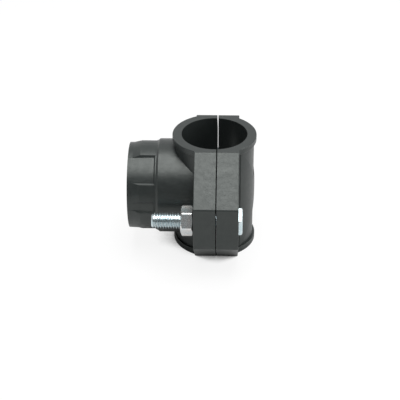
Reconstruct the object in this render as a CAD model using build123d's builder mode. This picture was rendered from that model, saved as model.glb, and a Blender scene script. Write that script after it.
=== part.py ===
from build123d import *
import math
import os

# Tapping saddle for a 32 mm plastic pipe, in millimetres: a branch half with a
# female threaded outlet, a strap half, a gasket and two bolts with their nuts.
# The pipe runs along Z and the outlet points along -X. The bolts lie along X,
# one at -Y and one at +Y. The origin is where the pipe's axis meets the outlet's.

os.makedirs("parts", exist_ok=True)

# Pipe bore and shell
pipe_diameter = 32.0
pipe_clearance = 0.25  # radial, between the pipe and the closed shell
shell_wall = 3.35
saddle_length = 59.5
collar_thickness = 3.0
collar_height = 1.15  # how far each end collar stands out from the shell
collar_round = 0.3

# Where the two halves part
parting_offset = 1.4  # from the pipe's axis towards the strap
parting_gap = 0.55

# Ears and the bolts through them
ear_thickness = 10.55
ear_root_margin = 0.05  # from the shell to where the ear's slope starts
bolt_margin = 14.0  # from the shell to the bolt's axis
ear_edge_distance = 8.4  # from the bolt's axis to the ear's end face
ear_face_height = 22.0
ear_round = 0.4
ear_corner_round = 1.2  # between the slopes and the end faces

# Strap half: the raised band that narrows towards the back
band_height = 0.6
band_waist = 4.0

# Branch half: neck, socket and outlet thread
thread_radius = 16.62  # root of the 1 inch female pipe thread
thread_length = 18.8
thread_entry = 0.9  # chamfer at the mouth
socket_wall = 6.1
socket_length = 15.25
shoulder_step = 0.9
shoulder_length = 1.1
neck_length = 7.7  # from the shell to the shoulder
mouth_round = 1.1

# Shallow recesses round the socket
recess_depth = 0.8
recess_draft = 0.35  # how much the socket tapers between shoulder and mouth
recess_bevel = 0.8  # along each side
recess_end_bevel = 0.7
land_ring = 0.4  # plain ring between the shoulder and the recesses
land_run_out = 3.8
mouth_band = 2.4
wide_recess_angles = (50.0, 130.0, -130.0, -50.0)
wide_recess_span = 38.0
side_recess_angles = (0.0, 180.0)
side_recess_span = 14.0
recess_overshoot = 1.0  # how far the cutting shape runs past the land

# Port through the shell and its gasket
port_radius = 9.0
gasket_lip = 1.5  # shell left between the port and the gasket
gasket_width = 3.0
gasket_depth = 2.4
gasket_clearance = 0.1
gasket_sink = 0.05  # how far the fitted gasket lies below the bore

# M8 bolts and nuts
bolt_radius = 3.95
bolt_length = 38.4
bolt_end_chamfer = 0.9
bolt_hole_clearance = 0.4
hex_width = 12.9  # across the flats, for the heads and the nuts
hex_corner_round = 0.8
head_turn = 30.0  # flats towards the ear's end face
nut_turn = 0.0
head_height = 5.3
head_pocket_depth = 3.4
head_pocket_clearance = 0.25
nut_height = 6.2
nut_clearance = 0.05
nut_countersink = 0.5
hex_chamfer_angle = 30.0
hex_crown = 0.25  # from the flats in to the crown circle

# Worked out from the sizes above
bore_radius = pipe_diameter / 2 + pipe_clearance
shell_radius = bore_radius + shell_wall
collar_radius = shell_radius + collar_height
half_length = saddle_length / 2
collar_inside = half_length - collar_thickness
branch_face = parting_offset - parting_gap / 2
strap_face = parting_offset + parting_gap / 2
branch_ear_face = branch_face - ear_thickness
strap_ear_face = strap_face + ear_thickness
ear_root = shell_radius + ear_root_margin
band_corner = math.sqrt(shell_radius**2 - strap_ear_face**2)
bolt_centre = shell_radius + bolt_margin
ear_reach = bolt_centre + ear_edge_distance
bolt_hole_radius = bolt_radius + bolt_hole_clearance
head_seat = strap_ear_face - head_pocket_depth
land_radius = thread_radius + socket_wall
socket_radius = land_radius - recess_depth
neck_radius = land_radius + shoulder_step
neck_reach = shell_radius + neck_length
socket_start = neck_reach + shoulder_length
outlet_reach = neck_reach + socket_length
recess_top = socket_start + land_ring
recess_foot = recess_top + recess_end_bevel
run_out_end = outlet_reach - mouth_band
run_out_start = run_out_end - land_run_out
gasket_inner = port_radius + gasket_lip
gasket_outer = gasket_inner + gasket_width
groove_radius = bore_radius + gasket_depth


def ear_outline(plane_offset):
    # Both ears as one outline across the shell, sloping from the collars to the end faces.
    with BuildSketch(Plane.YZ.offset(plane_offset)) as outline:
        with BuildLine():
            Polyline(
                (-ear_root, half_length),
                (ear_root, half_length),
                (ear_reach, ear_face_height / 2),
                (ear_reach, -ear_face_height / 2),
                (ear_root, -half_length),
                (-ear_root, -half_length),
                (-ear_reach, -ear_face_height / 2),
                (-ear_reach, ear_face_height / 2),
                close=True,
            )
        make_face()
    return outline.sketch


def past_the_ears():
    # What lies outside the ears' outline, between their two outer faces.
    depth = strap_ear_face - branch_ear_face
    with BuildPart() as outside:
        with BuildSketch(Plane.YZ.offset(branch_ear_face)):
            Rectangle(ear_reach * 2, saddle_length)
        extrude(amount=depth)
        extrude(ear_outline(branch_ear_face), amount=depth, mode=Mode.SUBTRACT)
    return outside.part


def round_shell():
    # The pipe shell, solid for now, with its two round-edged end collars. Between the
    # ears' outer faces the collars are cut off flush with the ears.
    with BuildPart() as shell:
        with BuildSketch(Plane.XZ) as profile:
            with BuildLine():
                Polyline(
                    (0, half_length),
                    (collar_radius, half_length),
                    (collar_radius, collar_inside),
                    (shell_radius, collar_inside),
                    (shell_radius, -collar_inside),
                    (collar_radius, -collar_inside),
                    (collar_radius, -half_length),
                    (0, -half_length),
                    close=True,
                )
            make_face()
            rims = profile.vertices().filter_by(lambda corner: corner.X > shell_radius + collar_height / 2)
            fillet(rims, collar_round)
        revolve(axis=Axis.Z)
        add(past_the_ears(), mode=Mode.SUBTRACT)
    return shell.part


def on_both_bolts(plane_offset):
    # The two bolt axes, in a plane across them.
    plane = Plane.YZ.offset(plane_offset)
    return [plane * Location((side * bolt_centre, 0, 0)) for side in (-1, 1)]


def ear_corners(half):
    # The edges between the ears' slopes and their end faces.
    return half.edges().filter_by(Axis.X).filter_by(lambda edge: abs(edge.center().Y) > bolt_centre)


def ear_rims(half, outer_face):
    # The ears' edges round the face that the head or the nut is on.
    on_ears = half.edges().filter_by(lambda edge: abs(edge.center().Y) > ear_root + ear_round)
    return on_ears.filter_by_position(Axis.X, outer_face, outer_face)


def hexagon_piece(start, height, bolt_y, turn, near_chamfer=True):
    # A hexagon across the bolt's axis, its corners turned down at the far end, and at
    # the near end too on a nut.
    end = start + height
    corner_radius = hex_width / math.sqrt(3)
    crown_radius = hex_width / 2 - hex_crown
    drop = (corner_radius - crown_radius) * math.tan(math.radians(hex_chamfer_angle))
    turned = [(end - drop, corner_radius), (end, crown_radius), (end, 0), (start, 0)]
    if near_chamfer:
        turned += [(start, crown_radius), (start + drop, corner_radius)]
    else:
        turned += [(start, corner_radius)]
    with BuildPart() as piece:
        with BuildSketch(Plane.YZ.offset(start)) as hexagon:
            with Locations((bolt_y, 0)):
                RegularPolygon(hex_width / 2, 6, major_radius=False, rotation=turn)
            fillet(hexagon.vertices(), hex_corner_round)
        extrude(amount=height)
        with BuildSketch(Plane.XY):
            with BuildLine():
                Polyline([(x, bolt_y + radius) for x, radius in turned], close=True)
            make_face()
        revolve(axis=Axis((0, bolt_y, 0), (1, 0, 0)), mode=Mode.INTERSECT)
    return piece.part


def arc_point(radius, degrees):
    # A point round the outlet's axis, measured up from the front (-Y) side.
    turn = math.radians(degrees)
    return (-radius * math.cos(turn), radius * math.sin(turn))


def recess_section(middle, span):
    # A recess cut square to the outlet's axis: narrow at its floor, wider at the land.
    bevel_turn = math.degrees(recess_bevel / land_radius)
    floor_half = span / 2 - bevel_turn / 2
    # Past the land the sides carry on along the same bevel.
    outer_radius = land_radius + recess_overshoot
    outer_half = floor_half + bevel_turn * (recess_depth + recess_overshoot) / recess_depth
    floor_low = arc_point(socket_radius, middle - floor_half)
    floor_high = arc_point(socket_radius, middle + floor_half)
    wide_low = arc_point(outer_radius, middle - outer_half)
    wide_high = arc_point(outer_radius, middle + outer_half)
    with BuildSketch() as section:
        with BuildLine():
            Polyline(floor_low, wide_low)
            ThreePointArc(wide_low, arc_point(outer_radius, middle), wide_high)
            Polyline(wide_high, floor_high, arc_point(port_radius, middle), floor_low)
        make_face()
    return section.sketch


# The space that the recesses take: sectors round the socket, limited by a
# bevelled end at the shoulder and by the socket's own tapering surface inside.
with BuildPart() as recesses:
    with BuildSketch(Plane.XZ) as recess_profile:
        with BuildLine():
            slope = recess_end_bevel / recess_depth
            Polyline(
                (-recess_foot, socket_radius),
                (-recess_top + slope * recess_overshoot, land_radius + recess_overshoot),
                (-outlet_reach, land_radius + recess_overshoot),
                (-outlet_reach, socket_radius - recess_draft),
                close=True,
            )
        make_face()
    revolve(axis=Axis.X)
    with BuildSketch(Plane.YZ.offset(-outlet_reach - 1)):
        for angle in wide_recess_angles:
            add(recess_section(angle, wide_recess_span))
        for angle in side_recess_angles:
            add(recess_section(angle, side_recess_span))
    extrude(amount=socket_length + 2, mode=Mode.INTERSECT)

# The groove round the port, curved like the pipe it seals on.
with BuildPart() as gasket_groove:
    with BuildSketch(Plane.YZ):
        Circle(gasket_outer)
        Circle(gasket_inner, mode=Mode.SUBTRACT)
    extrude(amount=-outlet_reach)
    Cylinder(groove_radius, saddle_length, mode=Mode.INTERSECT)

with BuildPart() as outlet_gasket:
    with BuildSketch(Plane.YZ):
        Circle(gasket_outer - gasket_clearance)
        Circle(gasket_inner + gasket_clearance, mode=Mode.SUBTRACT)
    extrude(amount=-outlet_reach)
    Cylinder(groove_radius, saddle_length, mode=Mode.INTERSECT)
    Cylinder(bore_radius + gasket_sink, saddle_length, mode=Mode.SUBTRACT)
outlet_gasket.part.label = "outlet_gasket"
export_step(outlet_gasket.part, "parts/outlet_gasket.step")

# Branch half
with BuildPart() as branch_saddle:
    extrude(ear_outline(branch_ear_face), amount=ear_thickness)
    fillet(ear_corners(branch_saddle), ear_corner_round)
    fillet(ear_rims(branch_saddle, branch_ear_face), ear_round)
    add(round_shell())
    with BuildSketch(Plane.XZ) as outlet_profile:
        with BuildLine():
            Polyline(
                (branch_ear_face, 0),
                (branch_ear_face, neck_radius),
                (-neck_reach, neck_radius),
                (-socket_start, land_radius),
                (-run_out_start, land_radius),
                (-run_out_end, socket_radius - recess_draft / 2),
                (-outlet_reach, socket_radius - recess_draft),
                (-outlet_reach, 0),
                close=True,
            )
        make_face()
        corners = outlet_profile.vertices()
        fillet(corners.sort_by_distance((-outlet_reach, 0, socket_radius))[0], mouth_round)
    revolve(axis=Axis.X)
    add(recesses.part, mode=Mode.SUBTRACT)
    split(bisect_by=Plane.YZ.offset(branch_face), keep=Keep.BOTTOM)
    with Locations((0, 0, half_length)):
        Hole(bore_radius)
    with Locations(Plane(origin=(-outlet_reach, 0, 0), z_dir=(-1, 0, 0))):
        CounterBoreHole(port_radius, thread_radius, thread_length, depth=outlet_reach)
    mouth_edges = branch_saddle.edges().filter_by_position(Axis.X, -outlet_reach, -outlet_reach)
    chamfer(mouth_edges.sort_by(SortBy.RADIUS)[0], thread_entry)
    add(gasket_groove.part, mode=Mode.SUBTRACT)
    with Locations(on_both_bolts(branch_face)):
        Hole(bolt_hole_radius, depth=ear_thickness)
branch_saddle.part.label = "branch_saddle"
export_step(branch_saddle.part, "parts/branch_saddle.step")

# Strap half
with BuildPart() as strap_band:
    with BuildSketch(Plane.YZ.offset(parting_offset)):
        with BuildLine():
            Polyline(
                (0, band_waist / 2),
                (band_corner, collar_inside),
                (band_corner, -collar_inside),
                (0, -band_waist / 2),
                (-band_corner, -collar_inside),
                (-band_corner, collar_inside),
                close=True,
            )
        make_face()
    extrude(amount=collar_radius)
    Cylinder(shell_radius + band_height, saddle_length, mode=Mode.INTERSECT)

with BuildPart() as strap_saddle:
    extrude(ear_outline(strap_face), amount=ear_thickness)
    fillet(ear_corners(strap_saddle), ear_corner_round)
    fillet(ear_rims(strap_saddle, strap_ear_face), ear_round)
    add(round_shell())
    add(strap_band.part)
    split(bisect_by=Plane.YZ.offset(strap_face), keep=Keep.TOP)
    with Locations((0, 0, half_length)):
        Hole(bore_radius)
    with Locations(on_both_bolts(strap_ear_face)):
        Hole(bolt_hole_radius, depth=ear_thickness)
    with BuildSketch(Plane.YZ.offset(strap_ear_face)):
        with Locations((-bolt_centre, 0), (bolt_centre, 0)):
            RegularPolygon(hex_width / 2 + head_pocket_clearance, 6, major_radius=False, rotation=head_turn)
    extrude(amount=-head_pocket_depth, mode=Mode.SUBTRACT)
strap_saddle.part.label = "strap_saddle"
export_step(strap_saddle.part, "parts/strap_saddle.step")

# Bolts, heads in the strap's pockets, and nuts against the branch half's ears
nut_start = branch_ear_face - nut_height
for place, side in (("front", -1), ("rear", 1)):
    bolt_y = side * bolt_centre
    bolt_axis_plane = Plane(origin=(head_seat, bolt_y, 0), z_dir=(1, 0, 0))
    with BuildPart() as bolt:
        with BuildSketch(bolt_axis_plane):
            Circle(bolt_radius)
        extrude(amount=-bolt_length)
        chamfer(bolt.faces().sort_by(Axis.X)[0].edges(), bolt_end_chamfer)
        add(hexagon_piece(head_seat, head_height, bolt_y, head_turn, near_chamfer=False))
    bolt.part.label = f"bolt_{place}"
    export_step(bolt.part, f"parts/bolt_{place}.step")

    with BuildPart() as nut:
        add(hexagon_piece(nut_start, nut_height, bolt_y, nut_turn))
        with Locations(Plane(origin=(branch_ear_face, bolt_y, 0), z_dir=(1, 0, 0))):
            Hole(bolt_radius + nut_clearance, depth=nut_height)
        chamfer(nut.edges().filter_by(GeomType.CIRCLE).sort_by(SortBy.RADIUS)[:2], nut_countersink)
    nut.part.label = f"nut_{place}"
    export_step(nut.part, f"parts/nut_{place}.step")
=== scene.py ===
import math
import bmesh
import bpy
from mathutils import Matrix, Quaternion, Vector


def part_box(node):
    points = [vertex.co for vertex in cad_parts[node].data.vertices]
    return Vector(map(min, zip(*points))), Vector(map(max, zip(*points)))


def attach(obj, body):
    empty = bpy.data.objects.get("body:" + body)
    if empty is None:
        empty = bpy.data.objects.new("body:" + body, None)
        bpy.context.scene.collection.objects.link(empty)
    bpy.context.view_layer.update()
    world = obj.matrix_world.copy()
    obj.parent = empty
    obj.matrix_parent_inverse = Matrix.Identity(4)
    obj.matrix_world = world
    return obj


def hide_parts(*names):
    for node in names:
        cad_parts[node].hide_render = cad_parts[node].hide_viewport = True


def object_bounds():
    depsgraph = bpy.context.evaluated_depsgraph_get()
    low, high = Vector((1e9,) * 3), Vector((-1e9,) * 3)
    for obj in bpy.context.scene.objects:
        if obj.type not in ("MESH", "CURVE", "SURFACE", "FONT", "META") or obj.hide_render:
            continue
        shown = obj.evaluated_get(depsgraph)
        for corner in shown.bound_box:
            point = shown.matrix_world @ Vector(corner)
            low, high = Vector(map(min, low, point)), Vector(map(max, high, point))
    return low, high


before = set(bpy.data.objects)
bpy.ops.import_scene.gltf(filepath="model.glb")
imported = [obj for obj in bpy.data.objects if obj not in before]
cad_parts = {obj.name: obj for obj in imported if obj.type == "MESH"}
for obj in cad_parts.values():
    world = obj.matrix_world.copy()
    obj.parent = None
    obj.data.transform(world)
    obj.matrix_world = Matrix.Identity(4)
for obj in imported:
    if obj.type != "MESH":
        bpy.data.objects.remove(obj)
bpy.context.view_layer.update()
print("frame loaded")

mm = 0.001


# Material helpers

def startMaterial(name):
    material = bpy.data.materials.new(name)
    material.use_nodes = True
    tree = material.node_tree
    return material, tree, tree.nodes["Principled BSDF"]


def addNode(tree, kind, inputs=None, **settings):
    node = tree.nodes.new(kind)
    for setting, value in settings.items():
        setattr(node, setting, value)
    for socket, value in (inputs or {}).items():
        if isinstance(value, bpy.types.NodeSocket):
            tree.links.new(value, node.inputs[socket])
        else:
            node.inputs[socket].default_value = value
    return node


def addNoise(tree, place, scale, detail, roughness):
    noise = addNode(tree, "ShaderNodeTexNoise",
                    {"Vector": place, "Scale": scale, "Detail": detail, "Roughness": roughness})
    return noise.outputs["Fac"]


def addRange(tree, value, low, high, fromLow=0.3, fromHigh=0.7):
    # Left alone, fromLow and fromHigh are about where a noise's values begin and end.
    spread = addNode(tree, "ShaderNodeMapRange",
                     {"Value": value, "From Min": fromLow, "From Max": fromHigh,
                      "To Min": low, "To Max": high})
    return spread.outputs["Result"]


def addBump(tree, height, distance, strength, under=None):
    inputs = {"Height": height, "Distance": distance, "Strength": strength}
    if under is not None:
        inputs["Normal"] = under
    return addNode(tree, "ShaderNodeBump", inputs).outputs["Normal"]


def addColors(tree, factor, colorA, colorB):
    mix = addNode(tree, "ShaderNodeMix", data_type="RGBA")
    tree.links.new(factor, mix.inputs["Factor"])
    mix.inputs["A"].default_value = (*colorA, 1)
    mix.inputs["B"].default_value = (*colorB, 1)
    return mix.outputs["Result"]


# Moulded black plastic of both halves. Each noise is a scale, a detail and a roughness.
plastic = {
    "darkColor": (0.0175, 0.0215, 0.0215),
    "lightColor": (0.0235, 0.0275, 0.0270),
    "shineTint": (0.95, 1.0, 0.96),   # faint green cast of its shine
    "ior": 1.5,
    "patches": (70, 5, 0.55),         # flow patches in the colour, about 15 mm
    "blotches": (520, 5, 0.65),       # smooth and dull spots, about 2 mm
    "smoothRoughness": 0.30,
    "dullRoughness": 0.46,
    "clouds": (260, 6, 0.7),          # weaker and stronger shine, about 4 mm
    "weakShine": 0.45,
    "strongShine": 0.55,
    "peel": (230, 2, 0.55),           # soft waviness of the moulded face
    "peelDepth": 0.10 * mm,
    "peelStrength": 0.5,
    "grain": (2600, 3, 0.55),         # fine grain left by the mould
    "grainDepth": 0.018 * mm,
    "grainStrength": 0.6,
}


def makePlastic():
    material, tree, shader = startMaterial("mouldedBlackPlastic")
    place = addNode(tree, "ShaderNodeTexCoord").outputs["Object"]
    patches = addRange(tree, addNoise(tree, place, *plastic["patches"]), 0, 1)
    color = addColors(tree, patches, plastic["darkColor"], plastic["lightColor"])
    tree.links.new(color, shader.inputs["Base Color"])
    blotches = addNoise(tree, place, *plastic["blotches"])
    roughness = addRange(tree, blotches, plastic["smoothRoughness"], plastic["dullRoughness"])
    tree.links.new(roughness, shader.inputs["Roughness"])
    clouds = addNoise(tree, place, *plastic["clouds"])
    shine = addRange(tree, clouds, plastic["weakShine"], plastic["strongShine"])
    tree.links.new(shine, shader.inputs["Specular IOR Level"])
    peel = addNoise(tree, place, *plastic["peel"])
    wavy = addBump(tree, peel, plastic["peelDepth"], plastic["peelStrength"])
    grain = addNoise(tree, place, *plastic["grain"])
    grainy = addBump(tree, grain, plastic["grainDepth"], plastic["grainStrength"], wavy)
    tree.links.new(grainy, shader.inputs["Normal"])
    shader.inputs["Specular Tint"].default_value = (*plastic["shineTint"], 1)
    shader.inputs["IOR"].default_value = plastic["ior"]
    return material


# Zinc plating of the bolts and nuts
zinc = {
    "boltColors": ((0.55, 0.67, 0.71), (0.66, 0.72, 0.73)),
    "nutColors": ((0.62, 0.71, 0.73), (0.76, 0.71, 0.68)),
    "patches": (240, 3, 0.55),    # from the first colour to the second, about 4 mm
    "metallic": 0.88,             # the plating also scatters some light
    # Painted shade: the plating's colour is darkened in the thread's grooves and where other
    # metal lies close, in place of the shade there.
    "grooveReach": 0.7 * mm,      # how near the metal that shades a groove lies
    "grooveSamples": 8,
    "paintedGrooveShade": 0.45,
    "shadedBelow": 0.35,          # openness at which a groove is fully shaded
    "clearAbove": 0.75,
    "clouds": (720, 5, 0.7),      # smooth and dull spots
    "smoothRoughness": 0.17,
    "dullRoughness": 0.30,
    "scratches": (1500, 4, 0.6),
    "scratchDepth": 0.004 * mm,
    "scratchStrength": 0.5,
}


def makeZinc(name, colors):
    material, tree, shader = startMaterial(name)
    place = addNode(tree, "ShaderNodeTexCoord").outputs["Object"]
    patches = addRange(tree, addNoise(tree, place, *zinc["patches"]), 0, 1)
    plating = addColors(tree, patches, *colors)
    # Painted shade: the plating's colour is multiplied down where metal lies within grooveReach,
    # in the thread's grooves and corners.
    openness = addNode(tree, "ShaderNodeAmbientOcclusion", {"Distance": zinc["grooveReach"]},
                       samples=zinc["grooveSamples"])
    shade = addRange(tree, openness.outputs["AO"], zinc["paintedGrooveShade"], 1,
                     zinc["shadedBelow"], zinc["clearAbove"])
    shaded = addNode(tree, "ShaderNodeMix", data_type="RGBA", blend_type="MULTIPLY")
    shaded.inputs["Factor"].default_value = 1.0
    tree.links.new(plating, shaded.inputs["A"])
    tree.links.new(shade, shaded.inputs["B"])
    tree.links.new(shaded.outputs["Result"], shader.inputs["Base Color"])
    shader.inputs["Metallic"].default_value = zinc["metallic"]
    clouds = addNoise(tree, place, *zinc["clouds"])
    roughness = addRange(tree, clouds, zinc["smoothRoughness"], zinc["dullRoughness"])
    tree.links.new(roughness, shader.inputs["Roughness"])
    scratches = addNoise(tree, place, *zinc["scratches"])
    scratched = addBump(tree, scratches, zinc["scratchDepth"], zinc["scratchStrength"])
    tree.links.new(scratched, shader.inputs["Normal"])
    return material


# Rubber of the port gasket
rubber = {
    "darkColor": (0.012, 0.012, 0.013),
    "paleColor": (0.022, 0.022, 0.023),
    "bloom": (300, 3, 0.55),      # the pale film that rubber gets
    "grain": (1800, 4, 0.55),
    "grainDepth": 0.03 * mm,
    "grainStrength": 0.5,
    "smoothRoughness": 0.55,
    "dullRoughness": 0.75,
}


def makeRubber():
    material, tree, shader = startMaterial("gasketRubber")
    place = addNode(tree, "ShaderNodeTexCoord").outputs["Object"]
    bloom = addRange(tree, addNoise(tree, place, *rubber["bloom"]), 0, 1)
    color = addColors(tree, bloom, rubber["darkColor"], rubber["paleColor"])
    tree.links.new(color, shader.inputs["Base Color"])
    grain = addNoise(tree, place, *rubber["grain"])
    roughness = addRange(tree, grain, rubber["smoothRoughness"], rubber["dullRoughness"])
    tree.links.new(roughness, shader.inputs["Roughness"])
    grainy = addBump(tree, grain, rubber["grainDepth"], rubber["grainStrength"])
    tree.links.new(grainy, shader.inputs["Normal"])
    return material


plasticMaterial = makePlastic()
boltZinc = makeZinc("zincOnBolt", zinc["boltColors"])
nutZinc = makeZinc("zincOnNut", zinc["nutColors"])
rubberMaterial = makeRubber()


def dress(nodeName, material):
    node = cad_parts[nodeName]
    node.data.materials.clear()
    node.data.materials.append(material)


for nodeName in ("branch_saddle", "strap_saddle"):
    dress(nodeName, plasticMaterial)
dress("outlet_gasket", rubberMaterial)
print("CAD pieces dressed")


# How the meshes made here are cleaned and shaded
meshFinish = {
    "weldWithin": 0.0002 * mm,
    "sharpAbove": 20,          # degrees between two faces
}


def linkMesh(name, points, faces, material, body):
    mesh = bpy.data.meshes.new(name)
    mesh.from_pydata(points, [], faces)
    shape = bmesh.new()
    shape.from_mesh(mesh)
    bmesh.ops.remove_doubles(shape, verts=shape.verts, dist=meshFinish["weldWithin"])
    bmesh.ops.recalc_face_normals(shape, faces=shape.faces)
    shape.to_mesh(mesh)
    shape.free()
    mesh.shade_smooth()
    mesh.set_sharp_from_angle(angle=math.radians(meshFinish["sharpAbove"]))
    piece = bpy.data.objects.new(name, mesh)
    bpy.context.scene.collection.objects.link(piece)
    mesh.materials.append(material)
    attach(piece, body)
    return piece


def circlePoints(x, centreY, radius, around):
    turns = [2 * math.pi * step / around for step in range(around)]
    return [(x, centreY + radius * math.cos(turn), radius * math.sin(turn)) for turn in turns]


def ringFaces(ringCount, around, offset=0):
    faces = []
    for ring in range(ringCount - 1):
        for step in range(around):
            low = offset + ring * around + step
            side = offset + ring * around + (step + 1) % around
            faces.append((low, side, side + around, low + around))
    return faces


def threadSkin(startX, endX, centreY, thread, shape):
    # A thread's surface. Each row of the profile is a share of the pitch and a radius, and
    # climbs one pitch a turn, so that at the seam it meets the same row of the next turn.
    # Past either end the rows lie on that end's circle. shape gives the radius at an x.
    around, pitch, profile = thread["around"], thread["pitch"], thread["profile"]
    rows = len(profile)
    turns = math.ceil((endX - startX) / pitch) + 3   # the spare ones lie past the two ends
    points, faces = [], []
    for turn in range(turns):
        for share, radius in profile:
            for step in range(around):
                x = startX + pitch * (turn - 1 + share + step / around)
                x = min(max(x, startX), endX)
                reach = shape(radius, x)
                angle = 2 * math.pi * step / around
                points.append((x, centreY + reach * math.cos(angle), reach * math.sin(angle)))
    for row in range((turns - 1) * rows - 1):
        for step in range(around):
            low = row * around + step
            side = low + 1 if step + 1 < around else (row + rows) * around
            faces.append((low, side, side + around, low + around))
    return points, faces


def capFace(pointCount, around, atStart=True):
    first = 0 if atStart else pointCount - around
    return tuple(range(first, first + around))


# Hexagons of the bolts' heads and the nuts
hexagon = {
    "cornerRound": 0.8 * mm,
    "crownInset": 0.6 * mm,     # from the flats in to the crown circle
    "chamferAngle": 30,
    "leans": (-30, -20, -10, 0, 10, 20, 30),   # degrees round each rounded corner
    "flatSteps": 6,
}


def hexOutline(halfWidth, firstCorner):
    # Round the hexagon from the middle of its first corner.
    cornerRound = hexagon["cornerRound"]
    centreOut = (halfWidth - cornerRound) / math.cos(math.pi / 6)

    def onCorner(side, lean):
        corner = math.radians(firstCorner + 60 * side)
        turn = corner + math.radians(lean)
        return Vector((centreOut * math.cos(corner) + cornerRound * math.cos(turn),
                       centreOut * math.sin(corner) + cornerRound * math.sin(turn)))

    leans, flatSteps = hexagon["leans"], hexagon["flatSteps"]
    outline = []
    for side in range(6):
        outline += [onCorner(side, lean) for lean in leans]
        last, following = onCorner(side, leans[-1]), onCorner(side + 1, leans[0])
        outline += [last.lerp(following, step / flatSteps) for step in range(1, flatSteps)]
    middle = len(leans) // 2
    return outline[middle:] + outline[:middle]


def hexRing(outline, halfWidth, centreY, faceX, inward):
    # Where the hexagon's sides meet the cone that turns down its corners, and the crown
    # circle on the face at faceX. inward is 1 or -1, from that face into the piece.
    slope = math.tan(math.radians(hexagon["chamferAngle"]))
    crown = halfWidth - hexagon["crownInset"]
    sides = [(faceX + inward * (point.length - crown) * slope, centreY + point.x, point.y)
             for point in outline]
    onCrown = [point.normalized() * crown for point in outline]
    return sides, [(faceX, centreY + point.x, point.y) for point in onCrown]


# M8 thread of the bolts, and the one in the nuts that turns on it. Each row of a profile
# is a share of the pitch and a radius.
boltThread = {
    "pitch": 1.25 * mm,
    "around": 72,
    "profile": ((-0.05, 3.95 * mm), (0.05, 3.95 * mm), (0.39, 3.12 * mm), (0.61, 3.12 * mm)),
}
nutThread = {
    "pitch": 1.25 * mm,
    "around": 72,
    "profile": ((0.12, 4.0 * mm), (0.375, 3.33 * mm), (0.625, 3.33 * mm), (0.88, 4.0 * mm)),
}
bolt = {
    "headHeight": 5.3 * mm,
    "tipBevel": 0.9 * mm,
    "rootInHead": 0.4 * mm,
    "firstCorner": 30,         # degrees round to it
}
nut = {
    "countersink": 0.5 * mm,
    "firstCorner": 0,
}


def makeBolt(name, nodeName):
    low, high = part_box(nodeName)
    centreY = (low.y + high.y) / 2
    halfWidth = (high.y - low.y) / 2
    seatX = high.x - bolt["headHeight"]
    crest = boltThread["profile"][0][1]

    def shape(radius, x):
        if x > seatX:
            return crest
        return min(radius, crest - max(0, bolt["tipBevel"] - (x - low.x)))

    points, faces = threadSkin(low.x, seatX + bolt["rootInHead"], centreY, boltThread, shape)
    around = boltThread["around"]
    faces += [capFace(len(points), around), capFace(len(points), around, False)]
    outline = hexOutline(halfWidth, bolt["firstCorner"])
    sides, crown = hexRing(outline, halfWidth, centreY, high.x, -1)
    start = len(points)
    points += [(seatX, centreY + point.x, point.y) for point in outline] + sides + crown
    faces += ringFaces(3, len(outline), start)
    faces.append(tuple(range(start, start + len(outline))))
    faces.append(capFace(len(points), len(outline), False))
    piece = linkMesh(name, points, faces, boltZinc, "strap_half")
    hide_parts(nodeName)


def makeNut(name, nodeName, body, boltEndX):
    low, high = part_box(nodeName)
    centreY = (low.y + high.y) / 2
    halfWidth = (high.z - low.z) / 2
    bore = nutThread["profile"][0][1]
    pitch = nutThread["pitch"]

    def shape(radius, x):
        return max(radius, bore + nut["countersink"] - min(x - low.x, high.x - x))

    # The nut's thread keeps step with the bolt's, which starts at the bolt's end.
    lead = (low.x - boltEndX) / pitch % 1
    profile = tuple((share - lead, radius) for share, radius in nutThread["profile"])
    points, faces = threadSkin(low.x, high.x, centreY, {**nutThread, "profile": profile}, shape)
    outline = hexOutline(halfWidth, nut["firstCorner"])
    rim = bore + nut["countersink"]
    around = len(outline)
    start = len(points)
    lowSides, lowCrown = hexRing(outline, halfWidth, centreY, low.x, 1)
    highSides, highCrown = hexRing(outline, halfWidth, centreY, high.x, -1)
    points += circlePoints(low.x, centreY, rim, around) + lowCrown + lowSides
    points += highSides + highCrown + circlePoints(high.x, centreY, rim, around)
    faces += ringFaces(6, around, start)
    piece = linkMesh(name, points, faces, nutZinc, body)
    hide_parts(nodeName)


for side in ("front", "rear"):
    makeBolt("bolt" + side.capitalize(), "bolt_" + side)
    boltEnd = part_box("bolt_" + side)[0]
    makeNut("nut" + side.capitalize(), "nut_" + side, side + "_nut", boltEnd.x)
print("bolts and nuts made")


# Female thread inside the outlet
outletThread = {
    "pitch": 2.309 * mm,
    "around": 120,
    "profile": ((-0.09, 15.14 * mm), (0.09, 15.14 * mm), (0.41, 16.60 * mm), (0.59, 16.60 * mm)),
    "wallRadius": 16.60 * mm,
    "length": 17.0 * mm,
    "mouthBevel": 1.0 * mm,
    "mouthFade": 1.0,          # pitches over which the ridge rises from the wall
    "innerFade": 0.5,
    "backing": 0.08 * mm,      # how far the ridge is let into the socket's wall
}


def makeOutletThread():
    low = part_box("branch_saddle")[0]
    mouthX = low.x + outletThread["mouthBevel"]
    endX = mouthX + outletThread["length"]
    pitch, wall = outletThread["pitch"], outletThread["wallRadius"]

    def shape(radius, x):
        risen = (x - mouthX) / (outletThread["mouthFade"] * pitch)
        remaining = (endX - x) / (outletThread["innerFade"] * pitch)
        return wall + (radius - wall) * min(1, risen, remaining)

    points, faces = threadSkin(mouthX, endX, 0, outletThread, shape)
    around = outletThread["around"]
    start = len(points)
    outer = wall + outletThread["backing"]
    for x, radius in ((mouthX, wall), (mouthX, outer), (endX, outer), (endX, wall)):
        points += circlePoints(x, 0, radius, around)
    faces += ringFaces(4, around, start)
    linkMesh("outletThread", points, faces, plasticMaterial, "branch_half")


makeOutletThread()
print("outlet thread made")


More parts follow.
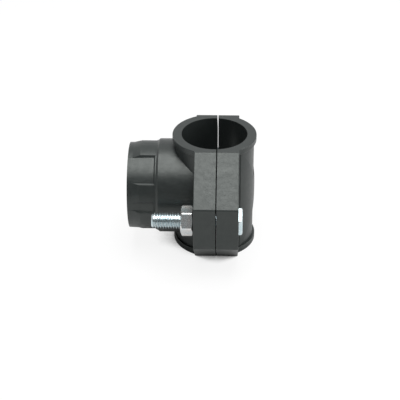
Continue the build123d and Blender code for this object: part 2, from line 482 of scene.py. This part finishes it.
# Studio: floor, lamps, white surroundings and camera
studio = {
    "floorSize": 6.0,
    "floorColor": (0.86, 0.86, 0.86),
    "floorRoughness": 0.9,
    "shadowShare": 0.12,       # of the lamps' shadow on the floor
    # Painted shadow: the floor's white glow is dimmed where the saddle covers it, under the
    # saddle and in its parting gap, as the camera and reflections see it.
    "coverReach": 60 * mm,     # how far round it a spot of floor looks for what covers it
    "coverSamples": 32,
    "paintedShadowBelow": 0.10,         # openness under which the white floor is dark
    "whiteAbove": 0.22,
    "shineAbove": 0.78,        # the same, as reflections show it
    "overheadSize": (0.40, 0.75),
    "overheadPlace": (0.0, -0.08, 0.75),
    "overheadPower": 6.1,
    "sideSize": (0.5, 0.6),
    "sidePlace": (0.75, -0.10, 0.35),
    "sidePower": 3.0,
    "backStrength": 0.75,
    "frontStrength": 0.16,     # the unlit side that the camera stands on
    "frontUntil": -0.6,        # Y of the direction where the room starts to brighten
    "backFrom": 0.3,
}


def addBackdropShare(tree):
    # 1 for the rays that see the white backdrop, the camera's and those in metal or glass,
    # and then 1 for the camera's alone.
    rays = addNode(tree, "ShaderNodeLightPath").outputs
    seenOrShown = addNode(tree, "ShaderNodeMath",
                          {0: rays["Is Camera Ray"], 1: rays["Is Glossy Ray"]}, operation="ADD")
    share = addNode(tree, "ShaderNodeMath",
                    {0: seenOrShown.outputs[0], 1: rays["Is Transmission Ray"]},
                    operation="ADD", use_clamp=True)
    return share.outputs[0], rays["Is Camera Ray"]


def makeFloor():
    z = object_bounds()[0][2]
    half = studio["floorSize"] / 2
    mesh = bpy.data.meshes.new("studioFloor")
    mesh.from_pydata([(-half, -half, z), (half, -half, z), (half, half, z), (-half, half, z)],
                     [], [(0, 1, 2, 3)])
    floor = bpy.data.objects.new("studioFloor", mesh)
    bpy.context.scene.collection.objects.link(floor)
    material, tree, shader = startMaterial("paleFloor")
    shader.inputs["Base Color"].default_value = (*studio["floorColor"], 1)
    shader.inputs["Roughness"].default_value = studio["floorRoughness"]
    # Painted shadow: the glow's strength falls with the ambient occlusion, so the floor under
    # the saddle and in its gap shows dark.
    openness = addNode(tree, "ShaderNodeAmbientOcclusion", {"Distance": studio["coverReach"]},
                       samples=studio["coverSamples"]).outputs["AO"]
    seenWhite = addRange(tree, openness, 0, 1, studio["paintedShadowBelow"], studio["whiteAbove"])
    shownWhite = addRange(tree, openness, 0, 1, studio["paintedShadowBelow"], studio["shineAbove"])
    backdropShare, cameraShare = addBackdropShare(tree)
    whiteWithPaintedShadow = addNode(tree, "ShaderNodeMix",
                        {"Factor": cameraShare, "A": shownWhite, "B": seenWhite})
    white = addNode(tree, "ShaderNodeEmission", {"Color": (1, 1, 1, 1),
                                                 "Strength": whiteWithPaintedShadow.outputs["Result"]})
    share = addNode(tree, "ShaderNodeMath", {0: backdropShare, 1: 1 - studio["shadowShare"]},
                    operation="MULTIPLY")
    mix = addNode(tree, "ShaderNodeMixShader")
    tree.links.new(share.outputs[0], mix.inputs[0])
    tree.links.new(shader.outputs["BSDF"], mix.inputs[1])
    tree.links.new(white.outputs["Emission"], mix.inputs[2])
    tree.links.new(mix.outputs["Shader"], tree.nodes["Material Output"].inputs["Surface"])
    mesh.materials.append(material)


def addLamp(name, place, size, power):
    data = bpy.data.lights.new(name, "AREA")
    data.shape = "RECTANGLE"
    data.size, data.size_y = size
    data.energy = power
    lamp = bpy.data.objects.new(name, data)
    lamp.location = place
    lamp.rotation_euler = (-Vector(place)).to_track_quat("-Z", "Y").to_euler()
    bpy.context.scene.collection.objects.link(lamp)


def makeRoom():
    world = bpy.data.worlds.new("studioRoom")
    bpy.context.scene.world = world
    world.use_nodes = True
    tree = world.node_tree
    tree.nodes.clear()
    direction = addNode(tree, "ShaderNodeTexCoord").outputs["Generated"]
    axes = addNode(tree, "ShaderNodeSeparateXYZ", {0: direction})
    sideStrength = addRange(tree, axes.outputs["Y"], studio["frontStrength"],
                            studio["backStrength"], studio["frontUntil"], studio["backFrom"])
    backdropShare, cameraShare = addBackdropShare(tree)
    seenStrength = addNode(tree, "ShaderNodeMath", {0: cameraShare, 1: sideStrength},
                           operation="MAXIMUM").outputs[0]
    white = (1, 1, 1, 1)
    around = addNode(tree, "ShaderNodeBackground", {"Color": white, "Strength": sideStrength})
    seen = addNode(tree, "ShaderNodeBackground", {"Color": white, "Strength": seenStrength})
    mix = addNode(tree, "ShaderNodeMixShader")
    tree.links.new(backdropShare, mix.inputs[0])
    tree.links.new(around.outputs[0], mix.inputs[1])
    tree.links.new(seen.outputs[0], mix.inputs[2])
    output = addNode(tree, "ShaderNodeOutputWorld")
    tree.links.new(mix.outputs[0], output.inputs["Surface"])


# Camera, in front of the saddle and above it
camera = {
    "aim": (-7.305 * mm, -0.233 * mm, -8.667 * mm),
    "distance": 571.82 * mm,
    "elevation": 31.486,
    "azimuth": 1.824,      # degrees round to the strap's side
    "roll": -0.273,
    "lens": 100.835,
    "sensorWidth": 36,
    "clipEnd": 20,
}


def makeCamera():
    data = bpy.data.cameras.new("studioCamera")
    data.lens = camera["lens"]
    data.sensor_width = camera["sensorWidth"]
    data.clip_end = camera["clipEnd"]
    viewer = bpy.data.objects.new("studioCamera", data)
    rise, turn = math.radians(camera["elevation"]), math.radians(camera["azimuth"])
    level = math.cos(rise)
    back = Vector((level * math.sin(turn), -level * math.cos(turn), math.sin(rise)))
    viewer.location = Vector(camera["aim"]) + back * camera["distance"]
    facing = (-back).to_track_quat("-Z", "Y")
    rolled = facing @ Quaternion((0, 0, 1), math.radians(camera["roll"]))
    viewer.rotation_euler = rolled.to_euler()
    bpy.context.scene.collection.objects.link(viewer)
    bpy.context.scene.camera = viewer


makeFloor()
addLamp("overheadLamp", studio["overheadPlace"], studio["overheadSize"], studio["overheadPower"])
addLamp("sideLamp", studio["sidePlace"], studio["sideSize"], studio["sidePower"])
makeRoom()
makeCamera()
bpy.context.scene.view_settings.view_transform = "Standard"
print("studio ready")
